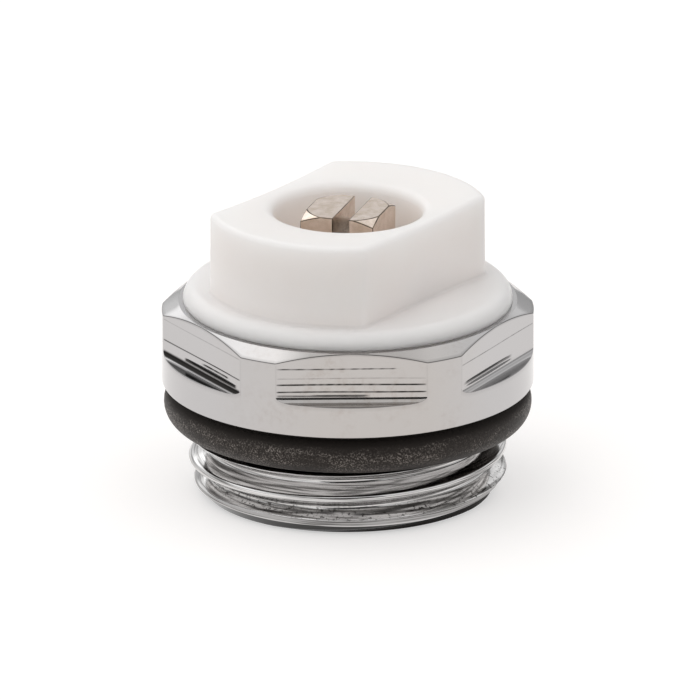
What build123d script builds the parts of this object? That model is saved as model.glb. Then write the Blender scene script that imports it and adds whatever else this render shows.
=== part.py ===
"""Manual radiator air vent with a half-inch thread, in millimetres.

The origin is the centre of the thread's end face; +Z runs up the axis to the bleed screw.
"""
import os
from math import cos, radians, sin, tan

from build123d import *

# Body: pipe thread, neck for the sealing ring and collar for the spanner
thread_d = 20.955  # major diameter, half-inch parallel pipe thread
thread_length = 4.45
thread_chamfer = 0.65
lead_length = 1.0  # plain lead that cuts off the first turn's crest
lead_depth = 0.36  # how far the lead lies under the thread crests
thread_runout = 0.5
neck_depth = 1.02  # how far the neck lies under the thread crests
neck_length = 2.92
collar_overhang = 1.7475  # how far the collar's round stands out over the thread crests
flat_count = 6
flat_depth = 1.05  # how far the collar's round stands out over the spanner flats
flat_height = 3.33  # from the collar's top down to the ledge at the foot of a flat
ledge_round = 0.42  # left by the cutter's nose where a flat meets its ledge
collar_height = 5.56
collar_edge = 0.15
collar_chamfer = 1.1
collar_chamfer_angle = 30
thread_wall = 2.7  # brass left between the thread crests and the inlet cavity
cavity_depth = 6.6
cavity_round = 0.8

# Body: boss, screw bore and valve seat
boss_d = 8.4
boss_height = 3.6  # over the collar's top
recess_wall = 2.95  # brass left between the chamfer's inner edge and the skirt recess
recess_depth = 2.4
snap_depth = 0.3
snap_height = 0.75
inlet_d = 1.8
inlet_length = 1.7
chamber_d = 3.0
screw_thread_d = 5.0
screw_thread_length = 2.0
screw_pitch = 0.8
open_turns = 1  # turns of the screw from closed to fully open
seal_bore_d = 4.1
seal_bore_spare = 1.5  # length of the seal bore beyond the screw's travel
vent_hole_d = 1.2
vent_hole_height = 1.0  # over the recess floor

# Swivel cap
cap_gap = 0.05
flange_inset = 0.3  # from the collar chamfer's inner edge to the flange
flange_thickness = 1.05
flange_round = 1.0
flange_crown = 0.15
knob_d = 18.54  # at its foot
knob_height = 5.5
knob_draft = 0.5  # degrees, so that the moulding leaves its mould
knob_corner = 0.7
knob_foot = 0.2
knob_edge = 0.35
cap_angle = -36.9  # direction of the flat without the outlet, about +Z from +X
top_dish = 0.28
socket_d = 9.8
socket_round = 0.6
rim_wall = 1.42  # plastic between the socket and the foot of a flat
skirt_wall = 2.9
skirt_floor_gap = 0.2
channel_roof = 1.1  # plastic between the discharge channel and the socket
outlet_d = 1.4
bead_height = 0.3

# Bleed screw
head_square = 5.0
head_top_d = 5.44
head_chamfer_angle = 27
head_sunk = 0.28  # below the corner that the cap's rounded edge is cut from
head_gap = 0.4
head_angle = -18.5
slot_width = 1.1
slot_offset = 0.28  # from the head's middle, as on the photographed screw
slot_depth = 1.6
stem_d = 2.2
tip_d = 1.0
land_gap = 0.05

# Sealing rings: cord thicknesses
collar_cord = 2.62
collar_ring_drop = 0.07  # from the collar down to its ring
boss_cord = 0.8
skirt_cord = 0.9
screw_cord = 0.8
ring_land = 0.3  # wall left beside a ring groove

# Clearances
fit_gap = 0.05  # radial, between parts that turn on each other
thread_gap = 0.03  # radial, between the plain cylinders that stand for the screw thread
ring_gap = 0.02  # between a sealing ring and the faces it seals
groove_gap = 0.1  # beside a sealing ring, along the axis
seat_gap = 0.03

# Modelling aids
cut_over = 1.0  # how far a cutting profile runs past the material
edge_tol = 0.001  # tells edges apart by their height

# Heights worked out from the sizes above
collar_z = thread_length + neck_length
collar_top_z = collar_z + collar_height
boss_top_z = collar_top_z + boss_height
recess_z = collar_top_z - recess_depth
seat_z = cavity_depth + inlet_length
screw_thread_z = boss_top_z - screw_thread_length
seal_bore_z = screw_thread_z - seal_bore_spare - screw_pitch * open_turns
snap_z = recess_z + skirt_floor_gap
flange_z = collar_top_z + cap_gap
flange_top_z = flange_z + flange_thickness
cap_top_z = flange_top_z + knob_height
channel_top_z = boss_top_z - channel_roof
outlet_z = channel_top_z - fit_gap

# Radii worked out from the sizes above
thread_r = thread_d / 2
lead_r = thread_r - lead_depth
neck_r = thread_r - neck_depth
collar_r = thread_r + collar_overhang
flat_r = collar_r - flat_depth
land_r = collar_r - collar_chamfer
recess_r = land_r - recess_wall
cavity_r = thread_r - thread_wall
boss_r = boss_d / 2
chamber_r = chamber_d / 2
inlet_r = inlet_d / 2
seal_bore_r = seal_bore_d / 2
screw_thread_r = screw_thread_d / 2
skirt_r = recess_r - 2 * fit_gap
knob_flats = socket_d + 2 * rim_wall
channel_r = skirt_r - skirt_wall
land_screw_r = seal_bore_r - fit_gap

# Sealing rings: centre circles and grooves
collar_ring_r = neck_r + ring_gap + collar_cord / 2
collar_ring_z = collar_z - collar_ring_drop - collar_cord / 2
boss_groove_r = boss_r + fit_gap - 2 * ring_gap - boss_cord
boss_groove_z = boss_top_z - channel_roof / 2
skirt_groove_r = recess_r - 2 * ring_gap - skirt_cord
skirt_groove_z = collar_top_z - ring_land - groove_gap - skirt_cord / 2
screw_groove_r = seal_bore_r - 2 * ring_gap - screw_cord
screw_groove_z = seal_bore_z + land_gap + ring_land + groove_gap + screw_cord / 2


def radial_plane(angle):
    """Vertical plane through the axis: local X runs outwards at the angle, local Y runs up."""
    a = radians(angle)
    return Plane(origin=(0, 0, 0), x_dir=(cos(a), sin(a), 0), z_dir=(sin(a), -cos(a), 0))


outlet_plane = radial_plane(cap_angle + 90)  # its normal is square to the cap's flats

os.makedirs("parts", exist_ok=True)

# Brass body, turned from bar: outside first
with BuildPart() as vent_body:
    chamfer_drop = collar_chamfer * tan(radians(collar_chamfer_angle))
    with BuildSketch(Plane.XZ):
        with BuildLine():
            Polyline(
                (0, 0),
                (lead_r - thread_chamfer, 0),
                (lead_r, thread_chamfer),
                (lead_r, lead_length),
                (thread_r, lead_length + lead_depth),
                (thread_r, thread_length - thread_runout),
                (neck_r, thread_length),
                (neck_r, collar_z),
                (collar_r - collar_edge, collar_z),
                (collar_r, collar_z + collar_edge),
                (collar_r, collar_top_z - chamfer_drop),
                (land_r, collar_top_z),
                (boss_r, collar_top_z),
                (boss_r, boss_top_z),
                (0, boss_top_z),
                close=True,
            )
        make_face()
    revolve(axis=Axis.Z)

    # Six spanner flats that run out on a ledge with a rounded foot
    ledge_z = collar_top_z - flat_height
    cutter_r = collar_r + cut_over
    flat_half = flat_r * tan(radians(180 / flat_count))  # half a side of the full polygon
    for k in range(flat_count):
        with BuildSketch(radial_plane(-90 + k * 360 / flat_count)):
            with BuildLine():
                Polyline(
                    (flat_r, ledge_z),
                    (cutter_r, ledge_z),
                    (cutter_r, collar_top_z),
                    (flat_r, collar_top_z),
                    close=True,
                )
            flat_cut = make_face()
            fillet(flat_cut.vertices().group_by(Axis.X)[0].sort_by(Axis.Y)[0], ledge_round)
    extrude(amount=flat_half, both=True, mode=Mode.SUBTRACT)

    # Inlet cavity inside the thread, rounded at its roof
    with BuildSketch(Plane.XZ):
        with BuildLine():
            Polyline((0, 0), (cavity_r, 0), (cavity_r, cavity_depth), (0, cavity_depth), close=True)
        cavity = make_face()
        fillet(cavity.vertices().group_by(Axis.X)[-1].sort_by(Axis.Y)[-1], cavity_round)
    revolve(axis=Axis.Z, mode=Mode.SUBTRACT)

    # Ring-shaped recess for the cap's skirt, with the groove that its bead snaps into
    with BuildSketch(Plane.XY.offset(recess_z)):
        Circle(recess_r)
        Circle(boss_r, mode=Mode.SUBTRACT)
    extrude(amount=recess_depth, mode=Mode.SUBTRACT)
    with BuildSketch(Plane.XY.offset(snap_z)):
        Circle(recess_r + snap_depth + 2 * fit_gap)
        Circle(skirt_r, mode=Mode.SUBTRACT)
    extrude(amount=snap_height, mode=Mode.SUBTRACT)

    # Groove for the ring that seals the boss to the cap
    with BuildSketch(Plane.XY.offset(boss_groove_z)):
        Circle(boss_r + cut_over)
        Circle(boss_groove_r, mode=Mode.SUBTRACT)
    extrude(amount=boss_cord / 2 + groove_gap / 2, both=True, mode=Mode.SUBTRACT)

    # Stepped screw bore: thread, smooth seal bore, chamber, valve seat and inlet hole
    with BuildSketch(Plane.XZ):
        with BuildLine():
            Polyline(
                (0, cavity_depth - cut_over),
                (inlet_r, cavity_depth - cut_over),
                (inlet_r, seat_z),
                (chamber_r, seat_z + chamber_r - inlet_r),
                (chamber_r, seal_bore_z),
                (seal_bore_r, seal_bore_z),
                (seal_bore_r, screw_thread_z),
                (screw_thread_r + thread_gap, screw_thread_z),
                (screw_thread_r + thread_gap, boss_top_z),
                (0, boss_top_z),
                close=True,
            )
        make_face()
    revolve(axis=Axis.Z, mode=Mode.SUBTRACT)

    # Vent hole from the chamber out to the cap's discharge channel
    with BuildSketch(outlet_plane):
        with Locations((0, recess_z + vent_hole_height)):
            Circle(vent_hole_d / 2)
    extrude(amount=-(boss_r + channel_r) / 2, mode=Mode.SUBTRACT)
vent_body.part.label = "vent_body"

# Rubber ring under the collar
with BuildPart() as collar_o_ring:
    with BuildSketch(Plane.XZ):
        with Locations((collar_ring_r, collar_ring_z)):
            Circle(collar_cord / 2)
    revolve(axis=Axis.Z)
collar_o_ring.part.label = "collar_o_ring"

# Rubber ring between the boss and the cap, above the discharge channel
with BuildPart() as boss_o_ring:
    with BuildSketch(Plane.XZ):
        with Locations((boss_groove_r + ring_gap + boss_cord / 2, boss_groove_z)):
            Circle(boss_cord / 2)
    revolve(axis=Axis.Z)
boss_o_ring.part.label = "boss_o_ring"

# White cap that swivels on the boss and points the discharge
with BuildPart() as swivel_cap:
    # Flange and skirt in one turned outline
    with BuildSketch(Plane.XZ):
        with BuildLine():
            flange_r = land_r - flange_inset
            skirt_z = recess_z + skirt_floor_gap
            Polyline(
                (0, skirt_z),
                (skirt_r, skirt_z),
                (skirt_r, flange_z),
                (flange_r, flange_z),
                (flange_r, flange_top_z - flange_round),
            )
            RadiusArc(
                (flange_r, flange_top_z - flange_round),
                (flange_r - flange_round, flange_top_z),
                -flange_round,
            )
            Polyline(
                (flange_r - flange_round, flange_top_z),
                (0, flange_top_z + flange_crown),
                (0, skirt_z),
            )
        make_face()
    revolve(axis=Axis.Z)

    # Knob: a round with two flats and softened corners
    with BuildSketch(Plane.XY.offset(flange_z)) as knob:
        Circle(knob_d / 2)
        Rectangle(knob_flats, knob_d, rotation=cap_angle, mode=Mode.INTERSECT)
        fillet(knob.vertices(), knob_corner)
    extrude(amount=cap_top_z - flange_z, taper=knob_draft)
    foot_edges = swivel_cap.edges().filter_by_position(
        Axis.Z, flange_top_z + edge_tol, flange_top_z + flange_crown
    )
    fillet(foot_edges, knob_foot)

    # Dished top, then the outer edge rounded
    with BuildSketch(Plane.XZ):
        with BuildLine():
            Polyline(
                (0, cap_top_z - top_dish * knob_d / (knob_d - socket_d)),
                (knob_d / 2, cap_top_z),
                (0, cap_top_z),
                close=True,
            )
        make_face()
    revolve(axis=Axis.Z, mode=Mode.SUBTRACT)
    fillet(swivel_cap.faces().sort_by(Axis.Z)[-1].outer_wire().edges(), knob_edge)

    # Socket for the bleed key, its rim rounded
    with BuildSketch(Plane.XY.offset(boss_top_z)):
        Circle(socket_d / 2)
    extrude(amount=cap_top_z - boss_top_z, mode=Mode.SUBTRACT)
    rim = swivel_cap.edges().filter_by(GeomType.CIRCLE).group_by(Axis.Z)[-1]
    fillet(rim.sort_by(SortBy.RADIUS)[0], socket_round)

    # Bore for the boss, and the wider discharge channel below it
    with BuildSketch(Plane.XY.offset(channel_top_z)):
        Circle(boss_r + fit_gap)
    extrude(amount=channel_roof, mode=Mode.SUBTRACT)
    with BuildSketch(Plane.XY.offset(recess_z)):
        Circle(channel_r)
    extrude(amount=channel_top_z - recess_z, mode=Mode.SUBTRACT)

    # Groove for the skirt's sealing ring
    with BuildSketch(Plane.XY.offset(skirt_groove_z)):
        Circle(skirt_r + cut_over)
        Circle(skirt_groove_r, mode=Mode.SUBTRACT)
    extrude(amount=skirt_cord / 2 + groove_gap / 2, both=True, mode=Mode.SUBTRACT)

    # Snap bead that holds the cap in the body
    with BuildSketch(Plane.XZ):
        with BuildLine():
            Polyline(
                (skirt_r - bead_height, snap_z),
                (skirt_r, snap_z),
                (skirt_r + bead_height, snap_z + bead_height),
                (skirt_r + bead_height, snap_z + snap_height - 2 * groove_gap),
                (skirt_r - bead_height, snap_z + snap_height - 2 * groove_gap),
                close=True,
            )
        make_face()
    revolve(axis=Axis.Z)

    # Outlet through the back flat
    with BuildSketch(outlet_plane):
        with Locations((0, outlet_z)):
            Circle(outlet_d / 2)
    extrude(amount=-knob_flats, mode=Mode.SUBTRACT)
swivel_cap.part.label = "swivel_cap"

# Rubber ring between the cap's skirt and the body
with BuildPart() as skirt_o_ring:
    with BuildSketch(Plane.XZ):
        with Locations((skirt_groove_r + ring_gap + skirt_cord / 2, skirt_groove_z)):
            Circle(skirt_cord / 2)
    revolve(axis=Axis.Z)
skirt_o_ring.part.label = "skirt_o_ring"

# Bleed screw, shown closed on its seat
with BuildPart() as bleed_screw:
    tip_apex_z = seat_z - inlet_r + seat_gap
    head_z = boss_top_z + head_gap
    head_top_z = cap_top_z - head_sunk
    with BuildSketch(Plane.XZ):
        with BuildLine():
            Polyline(
                (0, tip_apex_z + tip_d / 2),
                (tip_d / 2, tip_apex_z + tip_d / 2),
                (stem_d / 2, tip_apex_z + stem_d / 2),
                (stem_d / 2, seal_bore_z + land_gap),
                (land_screw_r, seal_bore_z + land_gap),
                (land_screw_r, screw_thread_z + land_gap),
                (screw_thread_r, screw_thread_z + land_gap),
                (screw_thread_r, head_z),
                (0, head_z),
                close=True,
            )
        make_face()
    revolve(axis=Axis.Z)

    # Groove for the screw's sealing ring
    with BuildSketch(Plane.XY.offset(screw_groove_z)):
        Circle(land_screw_r + cut_over)
        Circle(screw_groove_r, mode=Mode.SUBTRACT)
    extrude(amount=screw_cord / 2 + groove_gap / 2, both=True, mode=Mode.SUBTRACT)

    # Square head with a turned chamfer on its corners
    with BuildSketch(Plane.XY.offset(head_z)):
        Rectangle(head_square, head_square, rotation=head_angle)
    extrude(amount=head_top_z - head_z)
    with BuildSketch(Plane.XZ):
        with BuildLine():
            Polyline(
                (head_top_d / 2, head_top_z),
                (head_square, head_top_z),
                (
                    head_square,
                    head_top_z - (head_square - head_top_d / 2) * tan(radians(head_chamfer_angle)),
                ),
                close=True,
            )
        make_face()
    revolve(axis=Axis.Z, mode=Mode.SUBTRACT)

    # Screwdriver slot across the head
    with BuildSketch(Plane.XY.offset(head_top_z)):
        with Locations(Location((0, 0, 0), (0, 0, head_angle))):
            with Locations((slot_offset, 0)):
                Rectangle(slot_width, head_square * 2)
    extrude(amount=-slot_depth, mode=Mode.SUBTRACT)
bleed_screw.part.label = "bleed_screw"

# Rubber ring on the screw, below its thread
with BuildPart() as screw_o_ring:
    with BuildSketch(Plane.XZ):
        with Locations((screw_groove_r + ring_gap + screw_cord / 2, screw_groove_z)):
            Circle(screw_cord / 2)
    revolve(axis=Axis.Z)
screw_o_ring.part.label = "screw_o_ring"

export_step(vent_body.part, "parts/vent_body.step")
export_step(collar_o_ring.part, "parts/collar_o_ring.step")
export_step(boss_o_ring.part, "parts/boss_o_ring.step")
export_step(swivel_cap.part, "parts/swivel_cap.step")
export_step(skirt_o_ring.part, "parts/skirt_o_ring.step")
export_step(bleed_screw.part, "parts/bleed_screw.step")
export_step(screw_o_ring.part, "parts/screw_o_ring.step")
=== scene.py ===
"""Looks of the manual air vent: chromed, threaded body, white cap, nickel screw and black ring."""
import math

import bpy
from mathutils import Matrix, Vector, noise as perlin


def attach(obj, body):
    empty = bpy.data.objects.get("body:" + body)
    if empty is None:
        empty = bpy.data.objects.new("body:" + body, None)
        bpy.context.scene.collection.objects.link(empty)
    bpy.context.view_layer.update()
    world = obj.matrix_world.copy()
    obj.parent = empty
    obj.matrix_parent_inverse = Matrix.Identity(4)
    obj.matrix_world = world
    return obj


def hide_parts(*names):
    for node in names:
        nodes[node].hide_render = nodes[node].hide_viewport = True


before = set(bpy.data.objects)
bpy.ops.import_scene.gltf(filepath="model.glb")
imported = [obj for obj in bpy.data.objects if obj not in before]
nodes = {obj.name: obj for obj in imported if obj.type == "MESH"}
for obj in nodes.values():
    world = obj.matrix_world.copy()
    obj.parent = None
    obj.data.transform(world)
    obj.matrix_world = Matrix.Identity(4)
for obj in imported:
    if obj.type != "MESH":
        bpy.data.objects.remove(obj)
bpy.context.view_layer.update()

MM = 0.001

# Body sizes in millimetres, the same as the solid's
THREAD_R = 10.4775
THREAD_PITCH = 1.814
THREAD_TOP_Z = 4.45
THREAD_DEPTH = 0.6403 * THREAD_PITCH
THREAD_TIP_R = 0.1373 * THREAD_PITCH  # rounding of crest and root
THREAD_HALF_ANGLE = math.radians(27.5)
THREAD_RUNOUT = 0.5
CREST_Z = 2.2  # height of a crest on the -X side
LEAD_R = 10.1175  # short turned lead that cuts off the first turn's crest
LEAD_Z = 1.0
LEAD_CHAMFER = 0.65
END_ROUND = 0.1
NECK_R = 9.4575
NECK_ROUND = 0.2
COLLAR_Z = 7.37
COLLAR_R = 12.222
COLLAR_EDGE = 0.15
COLLAR_TOP_Z = 12.93
FLAT_R = 11.175
FLAT_COUNT = 6
FLAT_HALF_ANGLE = math.acos(FLAT_R / COLLAR_R)
LEDGE_Z = 9.6
LEDGE_ROUND = 0.42
FOOT_Z = LEDGE_Z + LEDGE_ROUND  # where a flat runs into its rounded foot
LAND_R = 11.125
CHAMFER_SLOPE = math.tan(math.radians(30))
RECESS_R = 8.175
RECESS_Z = 10.53
BOSS_R = 4.2
BOSS_TOP_Z = 16.53
BOSS_CHAMFER = 0.03
BOSS_GROOVE_R = 3.41
BOSS_GROOVE_Z = (15.53, 16.43)
SNAP_R = 8.575
SNAP_Z = (10.73, 11.48)
CAVITY_R = 7.7775
CAVITY_Z = 6.6
CAVITY_ROUND = 0.8
INLET_R = 0.9
INLET_CHAMFER = 0.1
SEAT_Z = 8.3
CHAMBER_R = 1.5
SEAL_BORE_R = 2.05
SEAL_BORE_Z = 12.23
SCREW_HOLE_R = 2.53
SCREW_HOLE_Z = 14.53
SCREW_LEAD = 0.2

# Screw head, the same as the solid's: its turn, and the slot's sides in millimetres from the axis
HEAD_TURN = math.radians(-18.5)
SLOT_SIDES = (-0.27, 0.83)

# Rows of points on the body's plain walls, as heights in millimetres
CAVITY_ROWS = (3.0, 0.4)
NECK_ROWS = (5.5, 6.8)

# Columns of points round the body: on a flat, on the round between two flats, and close to a corner
FLAT_COLUMNS = 40
ROUND_COLUMNS = 7
CORNER_COLUMNS_DEG = (-0.45, -0.22, 0, 0.22, 0.45)
CORNER_MARGIN_DEG = 0.9

# Fine finish of the body, in millimetres
EDGE_ROUND = 0.07
CORNER_BLEND = 0.036
CORNER_FADE = 0.05
LEAST_ROOM = 0.002
ANGLE_SLACK = 0.0001  # radians
LEAD_LIP = 0.08
MARK_ROWS = 64
FOOT_ROWS = 24
THREAD_ROWS = 108
SIDE_ROWS = MARK_ROWS + FOOT_ROWS + 14  # as many as a flat has with its foot and lip
MARK_DEPTH = 0.012
MARK_WAVE = 0.012
MARK_FADE = 0.3
SCRATCH_Z = 1.38  # burr left round the first turn
SCRATCH_HALF_WIDTH = 0.035
SCRATCH_DASHES = 9

# Darkness painted into the chrome, from 0 to 1: dark marks, painted shade and painted dark reflection
# Painted shade in the thread's roots, darker toward the root
GROOVE_DARK = 0.12
GROOVE_START = 0.3  # as shares of the thread's depth
GROOVE_RISE = 0.6
SCRATCH_DARK = 0.9
# Painted dark reflection of the shaded floor on the turned lead and on the end chamfer
LEAD_DARK = 0.42
END_DARK = 0.98
# Painted dark reflection along the collar's rounded top edge and the ledges' rounded outer edge
BROW_DARK = 0.8
LIP_DARK = 0.4
# Painted shade where a flat meets the round
CORNER_DARK = 0.08

# Dark stripes on the flats, their foot and their ledge, darker in colour and cut as shallow grooves
# in the flats: height along the surface over the top of the foot, half width, darkness,
# how broken they are, and where along the flat they start and end
FRONT_MARKS = (
    (1.88, 0.040, 1.10, 0.55, -5.0, 3.0),
    (1.24, 0.030, 0.40, 0.45, -5.0, 5.0),
    (0.81, 0.055, 1.35, 0.45, -5.0, 5.0),
    (0.31, 0.048, 1.35, 0.40, -5.0, 5.0),
    (0.02, 0.075, 0.60, 0.10, -5.0, 1.2),
)
RIGHT_MARKS = (
    (1.60, 0.030, 0.70, 0.40, -5.0, 5.0),
    (0.26, 0.095, 0.80, 0.10, -4.6, 1.9),
    (-0.35, 0.300, 0.10, 0.10, -5.0, 5.0),
    (-0.98, 0.280, 0.66, 0.15, -4.2, 5.0),
)
LEFT_MARKS = (
    (2.08, 0.025, 0.40, 0.30, -5.0, 5.0),
    (0.68, 0.040, 1.10, 0.10, -5.0, 5.0),
    (0.39, 0.060, 1.20, 0.50, 0.0, 3.5),
    (0.08, 0.105, 1.30, 0.10, -2.2, 4.5),
    (-0.26, 0.200, 1.30, 0.08, -5.0, 5.0),
    (-0.98, 0.270, 1.20, 0.15, -4.4, 3.4),
)
# The marks on each flat, from the front one anticlockwise seen from above
FLAT_MARKS = (FRONT_MARKS, RIGHT_MARKS, FRONT_MARKS, LEFT_MARKS, RIGHT_MARKS, LEFT_MARKS)


def thread_radius(z, angle):
    """Radius of the 55 degree pipe thread, rounded at crest and root."""
    turn = (z - CREST_Z) / THREAD_PITCH - (angle - math.pi) / (2 * math.pi)
    along = abs(turn - round(turn)) * THREAD_PITCH
    tip = THREAD_TIP_R
    arc = tip * math.cos(THREAD_HALF_ANGLE)
    if along < arc:
        return THREAD_R - tip + math.sqrt(tip**2 - along**2)
    from_root = THREAD_PITCH / 2 - along
    if from_root < arc:
        return THREAD_R - THREAD_DEPTH + tip - math.sqrt(tip**2 - from_root**2)
    flank = (along - arc) / math.tan(THREAD_HALF_ANGLE)
    return THREAD_R - tip * (1 - math.sin(THREAD_HALF_ANGLE)) - flank


def threaded_end(angle):
    """Points from the end face up to the neck, with the thread cut into the plain end."""
    points = []
    dashes = perlin.noise((SCRATCH_DASHES * math.cos(angle), SCRATCH_DASHES * math.sin(angle), 0))
    scratch = SCRATCH_DARK * step_up(0.4 + 2 * dashes)
    for i in range(THREAD_ROWS + 1):
        z = THREAD_TOP_Z * i / THREAD_ROWS
        lead = min(LEAD_R - LEAD_CHAMFER + z, max(LEAD_R, LEAD_R + z - LEAD_Z))
        runout = NECK_R + (THREAD_TOP_Z - z) * (THREAD_R - NECK_R) / THREAD_RUNOUT
        r = min(thread_radius(z, angle), lead, runout)
        # Painted shade deeper in the thread's roots
        depth = (THREAD_R - r) / THREAD_DEPTH
        dark = GROOVE_DARK * min(max((depth - GROOVE_START) / GROOVE_RISE, 0), 1)
        dark += scratch * math.exp(-(((z - SCRATCH_Z) / SCRATCH_HALF_WIDTH) ** 2))
        # Painted dark reflection of the shaded floor on the lead and the end chamfer
        if LEAD_CHAMFER + LEAD_LIP < z < LEAD_Z:
            dark = max(dark, LEAD_DARK)
        if z < LEAD_CHAMFER:
            dark = END_DARK
        points.append((r, z, min(dark, 1.0)))
    return points


def rounded(before, corner, after, radius, steps=4, dark=0.0):
    """Points of a small arc that takes the place of a corner between two neighbours."""
    c = Vector(corner[:2])
    a = Vector(before[:2]) - c
    b = Vector(after[:2]) - c
    half = a.angle(b) / 2
    setback = min(radius / math.tan(half), 0.45 * a.length, 0.45 * b.length)
    start = c + a.normalized() * setback
    end = c + b.normalized() * setback
    points = []
    for i in range(steps + 1):
        t = i / steps
        point = start * (1 - t) ** 2 + c * 2 * t * (1 - t) + end * t**2
        points.append((*point, dark * math.sin(math.pi * (0.1 + 0.8 * t))))
    return points


def spread(start, end, count):
    """Evenly spaced clean points strictly between two points."""
    a = Vector(start[:2])
    b = Vector(end[:2])
    return [(*a.lerp(b, i / (count + 1)), 0.0) for i in range(1, count + 1)]


def flat_frame(angle):
    """Number of the nearest spanner flat and the angle from its middle."""
    step = 2 * math.pi / FLAT_COUNT
    turn = (angle + math.pi / 2) / step
    return round(turn) % FLAT_COUNT, (turn - round(turn)) * step


def step_up(value):
    """Smooth rise from 0 to 1 as a value goes from 0 to 1."""
    t = min(max(value, 0), 1)
    return t * t * (3 - 2 * t)


def flat_stripes(height, flat, across):
    """Depth and darkness of a flat's stripes at a height over its foot and a place across it."""
    depth = 0.0
    dark = 0.0
    for i, mark in enumerate(FLAT_MARKS[flat]):
        mark_height, half_width, mark_dark, breaks, start, end = mark
        inside = step_up((across - start) / MARK_FADE) * step_up((end - across) / MARK_FADE)
        dashes = perlin.noise((2.6 * across, 7.0 * i, 3.0 * flat))
        dashes += perlin.noise((7.1 * across, 5.0 * i, flat))
        whole = 1 - breaks * (1 - step_up(0.5 + 1.2 * dashes))
        wave = MARK_WAVE * math.sin(0.6 * across + i)
        shape = math.exp(-(((height - mark_height - wave) / half_width) ** 4)) * inside * whole
        depth += MARK_DEPTH * shape
        dark += mark_dark * shape
    return depth, min(dark, 1.0)


def foot_point(along):
    """Distance from a flat and height at a length along its rounded foot and its ledge."""
    turn = along / LEDGE_ROUND
    if turn < math.pi / 2:
        return LEDGE_ROUND * (1 - math.cos(turn)), FOOT_Z - LEDGE_ROUND * math.sin(turn)
    return along - LEDGE_ROUND * (math.pi / 2 - 1), LEDGE_Z


def foot_length(room):
    """Length along the rounded foot and the ledge that a distance from the flat leaves room for."""
    if room < LEDGE_ROUND:
        return LEDGE_ROUND * math.acos(1 - room / LEDGE_ROUND)
    return room + LEDGE_ROUND * (math.pi / 2 - 1)


def round_side():
    """Points of the collar's side between two flats, from its lower edge to its top."""
    bottom = (COLLAR_R, COLLAR_Z + COLLAR_EDGE)
    brow = (COLLAR_R, COLLAR_TOP_Z - (COLLAR_R - LAND_R) * CHAMFER_SLOPE)
    land = (LAND_R, COLLAR_TOP_Z)
    # Painted dark reflection along the rounded top edge
    top = rounded(bottom, brow, land, EDGE_ROUND, dark=BROW_DARK)
    points = spread(bottom, top[0], SIDE_ROWS)
    points += top
    points += spread(top[-1], land, 4)
    return points + rounded(brow, land, (RECESS_R, COLLAR_TOP_Z), EDGE_ROUND)


def flat_side(angle):
    """Points of the collar's side over a flat and its ledge, from its lower edge to its top."""
    flat, off = flat_frame(angle)
    across = FLAT_R * math.tan(off)
    plane_r = FLAT_R / math.cos(off)
    gap = max(CORNER_BLEND - abs(COLLAR_R - plane_r), 0)
    side_r = min(COLLAR_R, plane_r) - gap**2 / (4 * CORNER_BLEND)
    edge = min(max((COLLAR_R - plane_r) / CORNER_FADE, 0), 1)
    length = foot_length(max(COLLAR_R * math.cos(off) - FLAT_R, LEAST_ROOM))
    foot = []
    for i in range(FOOT_ROWS + 1):
        along = length * (1 - i / FOOT_ROWS)
        away, z = foot_point(along)
        r = min((FLAT_R + away) / math.cos(off), COLLAR_R)
        foot.append((r, z, edge * flat_stripes(-along, flat, across)[1]))
    bottom = (COLLAR_R, COLLAR_Z + COLLAR_EDGE)
    brow = (side_r, COLLAR_TOP_Z - (side_r - LAND_R) * CHAMFER_SLOPE)
    land = (LAND_R, COLLAR_TOP_Z)
    # Painted dark reflection along the ledge's rounded outer edge
    lip = rounded(bottom, foot[0], foot[2], EDGE_ROUND, dark=LIP_DARK)
    points = spread(bottom, lip[0], 6) + lip + foot[2:]
    brow_z = COLLAR_TOP_Z - (COLLAR_R - LAND_R) * CHAMFER_SLOPE - 2 * EDGE_ROUND
    for i in range(1, MARK_ROWS + 1):
        height = (brow_z - FOOT_Z) * i / MARK_ROWS
        depth, dark = flat_stripes(height, flat, across)
        # Near a corner the stripes give way to painted shade
        dark = max(edge * dark, CORNER_DARK * (1 - edge))
        points.append((side_r - edge * depth, FOOT_Z + height, dark))
    # Painted dark reflection along the rounded top edge
    top = rounded(foot[-1], brow, land, EDGE_ROUND, dark=BROW_DARK)
    points += spread(points[-1], top[0], 4)
    points += top
    points += spread(top[-1], land, 4)
    return points + rounded(brow, land, (RECESS_R, COLLAR_TOP_Z), EDGE_ROUND)


def collar_side(angle):
    """Points of the collar's side at an angle: on a flat, or on the round between two flats."""
    off = flat_frame(angle)[1]
    return flat_side(angle) if abs(off) < FLAT_HALF_ANGLE + ANGLE_SLACK else round_side()


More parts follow.
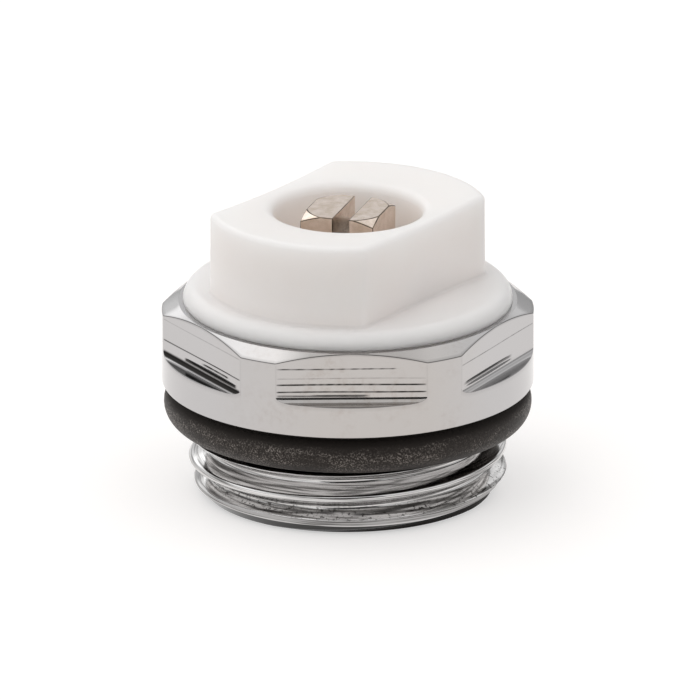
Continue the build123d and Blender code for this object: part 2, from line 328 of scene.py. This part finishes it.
def body_column(angle):
    """Closed outline of the body in the half plane at an angle: radius, height and darkness."""
    points = [
        (INLET_R, SEAT_Z, 0),
        (INLET_R, CAVITY_Z + INLET_CHAMFER, 0),
        (INLET_R + INLET_CHAMFER, CAVITY_Z, 0),
    ]
    roof_end = (CAVITY_R, CAVITY_Z)
    points += spread(points[-1], (CAVITY_R - CAVITY_ROUND, CAVITY_Z), 3)
    points += rounded((0, CAVITY_Z), roof_end, (CAVITY_R, 0), CAVITY_ROUND, 6)
    points += [(CAVITY_R, z, 0) for z in CAVITY_ROWS]
    points += rounded((CAVITY_R, CAVITY_ROWS[0]), (CAVITY_R, 0), (THREAD_R, 0), END_ROUND, 3)
    end = threaded_end(angle)
    points += spread(points[-1], end[0], 2)
    points += end
    neck_top = (NECK_R, COLLAR_Z)
    points += [(NECK_R, z, 0) for z in NECK_ROWS]
    points += rounded(points[-1], neck_top, (COLLAR_R, COLLAR_Z), NECK_ROUND)
    under_edge = (COLLAR_R - COLLAR_EDGE, COLLAR_Z)
    side_edge = (COLLAR_R, COLLAR_Z + COLLAR_EDGE)
    points += spread(points[-1], under_edge, 3)
    points += rounded(neck_top, under_edge, side_edge, EDGE_ROUND)
    points += rounded(under_edge, side_edge, (COLLAR_R, LEDGE_Z), EDGE_ROUND)
    points += collar_side(angle)
    points += spread(points[-1], (RECESS_R, COLLAR_TOP_Z), 3)
    inside = [
        (RECESS_R, COLLAR_TOP_Z),
        (RECESS_R, SNAP_Z[1]),
        (SNAP_R, SNAP_Z[1]),
        (SNAP_R, SNAP_Z[0]),
        (RECESS_R, SNAP_Z[0]),
        (RECESS_R, RECESS_Z),
        (BOSS_R, RECESS_Z),
        (BOSS_R, BOSS_GROOVE_Z[0]),
        (BOSS_GROOVE_R, BOSS_GROOVE_Z[0]),
        (BOSS_GROOVE_R, BOSS_GROOVE_Z[1]),
        (BOSS_R, BOSS_GROOVE_Z[1]),
        (BOSS_R, BOSS_TOP_Z - BOSS_CHAMFER),
        (BOSS_R - BOSS_CHAMFER, BOSS_TOP_Z),
        (SCREW_HOLE_R + SCREW_LEAD, BOSS_TOP_Z),
        (SCREW_HOLE_R, BOSS_TOP_Z - SCREW_LEAD),
        (SCREW_HOLE_R, SCREW_HOLE_Z),
        (SEAL_BORE_R, SCREW_HOLE_Z),
        (SEAL_BORE_R, SEAL_BORE_Z),
        (CHAMBER_R, SEAL_BORE_Z),
        (CHAMBER_R, SEAT_Z + CHAMBER_R - INLET_R),
    ]
    return points + [(r, z, 0) for r, z in inside]


def column_angles():
    """Angles of the body's columns: closer together where a flat meets the round."""
    corner = math.degrees(FLAT_HALF_ANGLE)
    step = 360 / FLAT_COUNT
    flat_span = 2 * corner - 2 * CORNER_MARGIN_DEG
    round_span = step - 2 * corner - 2 * CORNER_MARGIN_DEG
    flat_start = -corner + CORNER_MARGIN_DEG
    round_start = corner + CORNER_MARGIN_DEG
    sector = [flat_start + flat_span * i / (FLAT_COLUMNS - 1) for i in range(FLAT_COLUMNS)]
    sector += [corner + c for c in CORNER_COLUMNS_DEG]
    sector += [round_start + round_span * i / (ROUND_COLUMNS - 1) for i in range(ROUND_COLUMNS)]
    sector += [step - corner + c for c in CORNER_COLUMNS_DEG]
    starts = [-90 + k * step for k in range(FLAT_COUNT)]
    return [math.radians(start + offset) for start in starts for offset in sector]


def build_body():
    """Mesh of the body from closed outlines set side by side round the axis."""
    angles = column_angles()
    columns = [body_column(a) for a in angles]
    rows = len(columns[0])
    verts = []
    darkness = []
    for angle, column in zip(angles, columns):
        for r, z, dark in column:
            verts.append((r * math.cos(angle) * MM, r * math.sin(angle) * MM, z * MM))
            darkness.append(dark)
    faces = []
    for i in range(len(angles)):
        j = (i + 1) % len(angles)
        for k in range(rows):
            n = (k + 1) % rows
            faces.append((i * rows + k, j * rows + k, j * rows + n, i * rows + n))
    mesh = bpy.data.meshes.new("threaded_body")
    mesh.from_pydata(verts, [], faces)
    mesh.shade_smooth()
    mesh.attributes.new("dark_marks_and_painted_shade", "FLOAT", "POINT").data.foreach_set("value", darkness)
    obj = bpy.data.objects.new("threaded_body", mesh)
    bpy.context.scene.collection.objects.link(obj)
    weighted = obj.modifiers.new("even_normals", "WEIGHTED_NORMAL")
    weighted.keep_sharp = True
    return obj


HEIGHT_SPAN = 20  # millimetres that the height ramps reach over
FINE_RELIEF = 0.02 * MM


def new_material(name, colour, metallic, roughness):
    """Material with its main shader set to plain values."""
    material = bpy.data.materials.new(name)
    material.use_nodes = True
    shader = material.node_tree.nodes["Principled BSDF"]
    shader.inputs["Base Color"].default_value = (*colour, 1)
    shader.inputs["Metallic"].default_value = metallic
    shader.inputs["Roughness"].default_value = roughness
    return material, material.node_tree, shader


def noise(tree, scale, detail=4.0, roughness=0.55, streak=1.0):
    """Noise in the object's own metres: a scale of 1000 gives millimetre grain; streaks lie level."""
    coords = tree.nodes.new("ShaderNodeTexCoord")
    squash = tree.nodes.new("ShaderNodeMapping")
    squash.inputs["Scale"].default_value = (1 / streak, 1 / streak, 1)
    texture = tree.nodes.new("ShaderNodeTexNoise")
    texture.inputs["Scale"].default_value = scale
    texture.inputs["Detail"].default_value = detail
    texture.inputs["Roughness"].default_value = roughness
    tree.links.new(coords.outputs["Object"], squash.inputs["Vector"])
    tree.links.new(squash.outputs["Vector"], texture.inputs["Vector"])
    return texture.outputs["Fac"]


def ramp(tree, value, stops):
    """Colour ramp over a value; each stop is a position and a grey or a colour."""
    node = tree.nodes.new("ShaderNodeValToRGB")
    elements = node.color_ramp.elements
    while len(elements) < len(stops):
        elements.new(0.5)
    for element, (position, colour) in zip(elements, stops):
        if isinstance(colour, (int, float)):
            colour = (colour, colour, colour)
        element.position = position
        element.color = (*colour, 1)
    tree.links.new(value, node.inputs["Fac"])
    return node.outputs["Color"]


def bump(tree, shader, height, strength, distance):
    """Fine relief on a shader."""
    node = tree.nodes.new("ShaderNodeBump")
    node.inputs["Strength"].default_value = strength
    node.inputs["Distance"].default_value = distance
    tree.links.new(height, node.inputs["Height"])
    tree.links.new(node.outputs["Normal"], shader.inputs["Normal"])


def slant_ramp(tree, direction, start, end, stops):
    """Ramp along a direction in the object's own frame; its ends and stops are in millimetres."""
    coords = tree.nodes.new("ShaderNodeTexCoord")
    along = tree.nodes.new("ShaderNodeVectorMath")
    along.operation = "DOT_PRODUCT"
    along.inputs[1].default_value = direction
    tree.links.new(coords.outputs["Object"], along.inputs[0])
    span = tree.nodes.new("ShaderNodeMapRange")
    span.inputs["From Min"].default_value = start * MM
    span.inputs["From Max"].default_value = end * MM
    tree.links.new(along.outputs["Value"], span.inputs["Value"])
    parts = [((stop - start) / (end - start), grey) for stop, grey in stops]
    return ramp(tree, span.outputs["Result"], parts)


def height_ramp(tree, stops):
    """Ramp over the height in the object's own frame; each stop is millimetres and a grey."""
    return slant_ramp(tree, (0, 0, 1), 0, HEIGHT_SPAN, stops)


def mixed(tree, factor, first, second):
    """Blend of two colours, each a socket or plain values, by a factor socket."""
    node = tree.nodes.new("ShaderNodeMix")
    node.data_type = "RGBA"
    tree.links.new(factor, node.inputs["Factor"])
    for socket, colour in ((node.inputs[6], first), (node.inputs[7], second)):
        if isinstance(colour, tuple):
            socket.default_value = (*colour, 1)
        else:
            tree.links.new(colour, socket)
    return node.outputs[2]


def chrome_material():
    """Chrome plate: warm stains at the collar's front and back, painted cooler reflection at its left
    and right ends, turned lines and pits on the thread, dark marks, painted shade and painted dark
    reflection, and bare brass on the boss."""
    material, tree, shader = new_material("chrome", (0.57, 0.555, 0.54), 1.0, 0.09)
    freckles = ramp(
        tree,
        noise(tree, 2200, 6, 0.62),
        [(0.34, (0.435, 0.4, 0.376)), (0.5, (0.48, 0.456, 0.439)), (0.7, (0.502, 0.482, 0.468))],
    )
    patches = ramp(tree, noise(tree, 330, 3), [(0.42, 0), (0.6, 1)])
    stain = mixed(tree, patches, (0.493, 0.472, 0.457), freckles)
    # Painted reflection: the collar's left and right ends get a cooler, lighter chrome tone
    painted_side_reflection = slant_ramp(tree, (1, 0, 0), -13, 13, [(-9, 1), (-2, 0), (5, 0), (9, 1)])
    collar = mixed(tree, painted_side_reflection, stain, (0.502, 0.494, 0.496))
    thread_zone = height_ramp(tree, [(THREAD_TOP_Z, 1), (THREAD_TOP_Z + 0.5, 0)])
    lines = noise(tree, 11000, 2, 0.5, 60)
    turned = ramp(
        tree,
        lines,
        [(0.38, (0.2, 0.195, 0.19)), (0.5, (0.64, 0.632, 0.628)), (0.62, (0.74, 0.732, 0.728))],
    )
    clean = mixed(tree, thread_zone, collar, turned)
    pitted_zone = height_ramp(tree, [(1.0, 0), (1.2, 1), (1.5, 1), (1.9, 0)])
    pits = ramp(tree, noise(tree, 3800, 4, 0.7), [(0.55, 0), (0.62, 1)])
    pitted = mixed(tree, pits, clean, (0.05, 0.046, 0.042))
    outside = mixed(tree, pitted_zone, clean, pitted)
    boss_zone = height_ramp(tree, [(COLLAR_TOP_Z + 0.2, 0), (COLLAR_TOP_Z + 0.7, 1)])
    brass = ramp(tree, noise(tree, 1500, 4), [(0.3, (0.84, 0.7, 0.54)), (0.7, (0.88, 0.77, 0.63))])
    plate = mixed(tree, boss_zone, outside, brass)
    # Near-black from the body's darkness values: dark marks, painted shade and painted dark
    # reflection
    dark_marks_and_painted_shade = tree.nodes.new("ShaderNodeAttribute")
    dark_marks_and_painted_shade.attribute_name = "dark_marks_and_painted_shade"
    colour = mixed(tree, dark_marks_and_painted_shade.outputs["Fac"], plate, (0.014, 0.012, 0.011))
    tree.links.new(colour, shader.inputs["Base Color"])
    haze = ramp(tree, noise(tree, 1500, 3), [(0.3, 0.05), (0.7, 0.13)])
    dull = ramp(tree, noise(tree, 1500, 3), [(0.3, 0.07), (0.7, 0.15)])
    tree.links.new(mixed(tree, thread_zone, haze, dull), shader.inputs["Roughness"])
    bump(tree, shader, noise(tree, 900, 3), 0.05, FINE_RELIEF)
    return material


def plastic_material():
    """White satin plastic that lets light in."""
    material, tree, shader = new_material("white_plastic", (0.915, 0.885, 0.868), 0.0, 0.36)
    tint = ramp(
        tree,
        noise(tree, 260, 3),
        [(0.3, (0.957, 0.877, 0.852)), (0.7, (0.968, 0.893, 0.87))],
    )
    tree.links.new(tint, shader.inputs["Base Color"])
    shader.inputs["Subsurface Weight"].default_value = 1.0
    shader.inputs["Subsurface Radius"].default_value = (1.0, 1.0, 1.0)
    shader.inputs["Subsurface Scale"].default_value = 0.002
    bump(tree, shader, noise(tree, 5000, 2), 0.05, FINE_RELIEF)
    return material


def nickel_material():
    """Machined brass under thin nickel, with painted shade low down in the slot."""
    material, tree, shader = new_material("nickel", (0.6, 0.52, 0.46), 1.0, 0.22)
    worn = ramp(
        tree,
        noise(tree, 1200, 5, 0.6),
        [(0.35, (0.66, 0.545, 0.445)), (0.55, (0.77, 0.655, 0.57)), (0.75, (0.835, 0.74, 0.665))],
    )
    square_to_slot = (math.cos(HEAD_TURN), math.sin(HEAD_TURN), 0)
    left, right = SLOT_SIDES
    slot_zone = slant_ramp(
        tree,
        square_to_slot,
        -3,
        3,
        [(left - 0.03, 0), (left - 0.01, 1), (right + 0.01, 1), (right + 0.03, 0)],
    )
    slope = 0.29  # the painted shade lies deeper toward the slot's far end
    slant = (-slope * math.sin(HEAD_TURN), slope * math.cos(HEAD_TURN), 1)
    slot_shade_zone = slant_ramp(tree, slant, 15, 21, [(18.2, 1), (18.55, 0)])
    # Painted shade: the slot's lower wall darkened to a brown grey
    slot = mixed(tree, slot_shade_zone, worn, (0.37, 0.31, 0.26))
    tree.links.new(mixed(tree, slot_zone, worn, slot), shader.inputs["Base Color"])
    haze = ramp(tree, noise(tree, 2500, 3), [(0.3, 0.14), (0.7, 0.26)])
    tree.links.new(haze, shader.inputs["Roughness"])
    bump(tree, shader, noise(tree, 4000, 3), 0.1, FINE_RELIEF)
    return material


def dark_edge_material():
    """Painted dark reflection along the screw's rounded edges, brown and patchy."""
    material, tree, shader = new_material("painted_dark_edge", (0.12, 0.09, 0.06), 1.0, 0.35)
    edge_shade_tone = ramp(
        tree,
        noise(tree, 3000, 4),
        [(0.35, (0.06, 0.043, 0.03)), (0.65, (0.22, 0.17, 0.12))],
    )
    tree.links.new(edge_shade_tone, shader.inputs["Base Color"])
    return material


def rubber_material():
    """Black rubber, dull at the top, with brownish dust in its grain lower down; plain black at the
    top is painted shade under the collar.
    """
    material, tree, shader = new_material("rubber", (0.02, 0.0155, 0.013), 0.0, 0.5)
    grain = ramp(
        tree,
        noise(tree, 9200, 3, 0.7),
        [(0.4, (0.003, 0.0026, 0.0023)), (0.52, (0.028, 0.0245, 0.022)), (0.68, (0.4, 0.36, 0.33))],
    )
    # Plain black rubber; at the ring's top it also stands for painted shade
    clean = (0.006, 0.005, 0.0045)
    patches = ramp(tree, noise(tree, 1300, 4, 0.55, 5), [(0.42, 0.0), (0.58, 0.85)])
    patchy = mixed(tree, patches, grain, clean)
    # Painted shade: above 6.75 mm the ring's top, under the collar, is plain black without the
    # lighter grain
    colour = mixed(tree, height_ramp(tree, [(6.3, 0), (6.75, 1)]), patchy, clean)
    tree.links.new(colour, shader.inputs["Base Color"])
    dull = height_ramp(tree, [(6.35, 0.5), (6.8, 0.8)])
    tree.links.new(dull, shader.inputs["Roughness"])
    shader.inputs["Specular IOR Level"].default_value = 0.34
    shader.inputs["Specular Tint"].default_value = (1.0, 0.88, 0.8, 1)
    bump(tree, shader, noise(tree, 4500, 5, 0.7), 0.6, 3 * FINE_RELIEF)
    return material


def paint(obj, material):
    """One material on an object."""
    obj.data.materials.clear()
    obj.data.materials.append(material)


def bevel_dark_edges(obj, material):
    """Fine bevels along an object's edges, in a darker material for painted dark reflection; the mesh
    itself stays as it is.
    """
    obj.data.materials.append(material)
    weld = obj.modifiers.new("weld", "WELD")
    weld.merge_threshold = 0.0001 * MM
    bevel = obj.modifiers.new("edges", "BEVEL")
    bevel.width = 0.05 * MM
    bevel.segments = 2
    bevel.use_clamp_overlap = False
    bevel.limit_method = "ANGLE"
    bevel.angle_limit = math.radians(16)
    bevel.material = 1


chrome = chrome_material()
plastic = plastic_material()
nickel = nickel_material()
rubber = rubber_material()

body = build_body()
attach(body, "body")
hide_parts("vent_body")
paint(body, chrome)
paint(nodes["vent_body"], chrome)
paint(nodes["swivel_cap"], plastic)
paint(nodes["bleed_screw"], nickel)
bevel_dark_edges(nodes["bleed_screw"], dark_edge_material())
for ring in ("collar_o_ring", "boss_o_ring", "skirt_o_ring", "screw_o_ring"):
    paint(nodes[ring], rubber)


DISC_SIDES = 96

# The studio's light from the left side to the right, and from the horizon to overhead
SIDE_LIGHT = (
    (0.0, 1.1),
    (0.24, 1.2),
    (0.3, 1.58),
    (0.36, 1.58),
    (0.42, 0.9),
    (0.52, 0.8),
    (0.62, 0.8),
    (0.67, 0.98),
    (0.8, 0.8),
    (1.0, 0.95),
)
SKY_LIGHT = (
    (0.0, 0.56),
    (0.24, 0.6),
    (0.29, 1.0),
    (0.36, 1.0),
    (0.45, 0.84),
    (0.6, 1.05),
    (1.0, 1.06),
)


def calculated(tree, operation, first, second):
    """Result of a Math node on a socket and another socket or a number."""
    node = tree.nodes.new("ShaderNodeMath")
    node.operation = operation
    tree.links.new(first, node.inputs[0])
    if isinstance(second, float):
        node.inputs[1].default_value = second
    else:
        tree.links.new(second, node.inputs[1])
    return node.outputs["Value"]


def white_floor():
    """Pale floor that looks white and keeps the object's soft shadow."""
    glow_strength = 0.49
    bpy.ops.mesh.primitive_circle_add(vertices=DISC_SIDES, radius=3, fill_type="NGON")
    floor = bpy.context.object
    floor.name = "floor"
    material = bpy.data.materials.new("floor")
    material.use_nodes = True
    tree = material.node_tree
    tree.nodes.clear()
    output = tree.nodes.new("ShaderNodeOutputMaterial")
    diffuse = tree.nodes.new("ShaderNodeBsdfDiffuse")
    diffuse.inputs["Color"].default_value = (0.62, 0.597, 0.583, 1)
    glow = tree.nodes.new("ShaderNodeEmission")
    path = tree.nodes.new("ShaderNodeLightPath")
    rays = path.outputs
    seen = calculated(tree, "MAXIMUM", rays["Is Camera Ray"], rays["Is Glossy Ray"])
    shown = calculated(tree, "MAXIMUM", seen, rays["Is Transmission Ray"])
    level = calculated(tree, "MULTIPLY", shown, glow_strength)
    tree.links.new(level, glow.inputs["Strength"])
    both = tree.nodes.new("ShaderNodeAddShader")
    tree.links.new(diffuse.outputs["BSDF"], both.inputs[0])
    tree.links.new(glow.outputs["Emission"], both.inputs[1])
    tree.links.new(both.outputs["Shader"], output.inputs["Surface"])
    floor.data.materials.append(material)


def studio_world():
    """White light all round, stronger from the left, from above and in a band low in the sky."""
    world = bpy.data.worlds.new("studio")
    bpy.context.scene.world = world
    world.use_nodes = True
    tree = world.node_tree
    tree.nodes.clear()
    output = tree.nodes.new("ShaderNodeOutputWorld")
    coords = tree.nodes.new("ShaderNodeTexCoord")
    axes = tree.nodes.new("ShaderNodeSeparateXYZ")
    tree.links.new(coords.outputs["Generated"], axes.inputs["Vector"])
    across = tree.nodes.new("ShaderNodeMapRange")
    across.inputs["From Min"].default_value = -1
    across.inputs["From Max"].default_value = 1
    tree.links.new(axes.outputs["X"], across.inputs["Value"])
    sides = ramp(tree, across.outputs["Result"], SIDE_LIGHT)
    upward = ramp(tree, axes.outputs["Z"], SKY_LIGHT)
    studio = tree.nodes.new("ShaderNodeBackground")
    tree.links.new(upward, studio.inputs["Strength"])
    tree.links.new(sides, studio.inputs["Color"])
    tree.links.new(studio.outputs["Background"], output.inputs["Surface"])


def dark_card():
    """Dark round card in front of the vent, for the dark lines in the metal; no camera sees it."""
    rise = math.radians(13)
    distance = 2.0
    radius = 0.9
    toward = Vector((0, math.cos(rise), -math.sin(rise)))
    bpy.ops.mesh.primitive_circle_add(vertices=DISC_SIDES, radius=radius, fill_type="NGON")
    card = bpy.context.object
    card.name = "dark_card"
    card.rotation_mode = "QUATERNION"
    card.rotation_quaternion = toward.to_track_quat("Z", "Y")
    card.location = -toward * distance
    card.visible_camera = False
    card.data.materials.append(new_material("dark_card", (0.04, 0.04, 0.04), 0.0, 0.9)[0])


def photo_camera():
    """Long lens, 19 degrees above, aimed so that the vent sits in the frame as in the photograph."""
    azimuth = math.radians(-1.25)
    elevation = math.radians(18.97)
    distance = 1.0
    pixels_per_mm = 15.22
    image_width = 700
    sensor_width = 36
    aim = Vector((0, 0, 10 * MM))
    aim_offset_px = Vector((2.2, -9.0, 0))
    back = Vector(
        (
            math.sin(azimuth) * math.cos(elevation),
            -math.cos(azimuth) * math.cos(elevation),
            math.sin(elevation),
        )
    )
    turn = (-back).to_track_quat("-Z", "Y")
    offset = turn @ aim_offset_px * (MM / pixels_per_mm)
    data = bpy.data.cameras.new("camera")
    data.sensor_width = sensor_width
    data.lens = sensor_width * pixels_per_mm * distance / MM / image_width
    camera = bpy.data.objects.new("camera", data)
    camera.rotation_mode = "QUATERNION"
    camera.rotation_quaternion = turn
    camera.location = aim + offset + back * distance
    bpy.context.scene.collection.objects.link(camera)
    bpy.context.scene.camera = camera


white_floor()
dark_card()
studio_world()
photo_camera()
bpy.context.scene.view_settings.view_transform = "Standard"
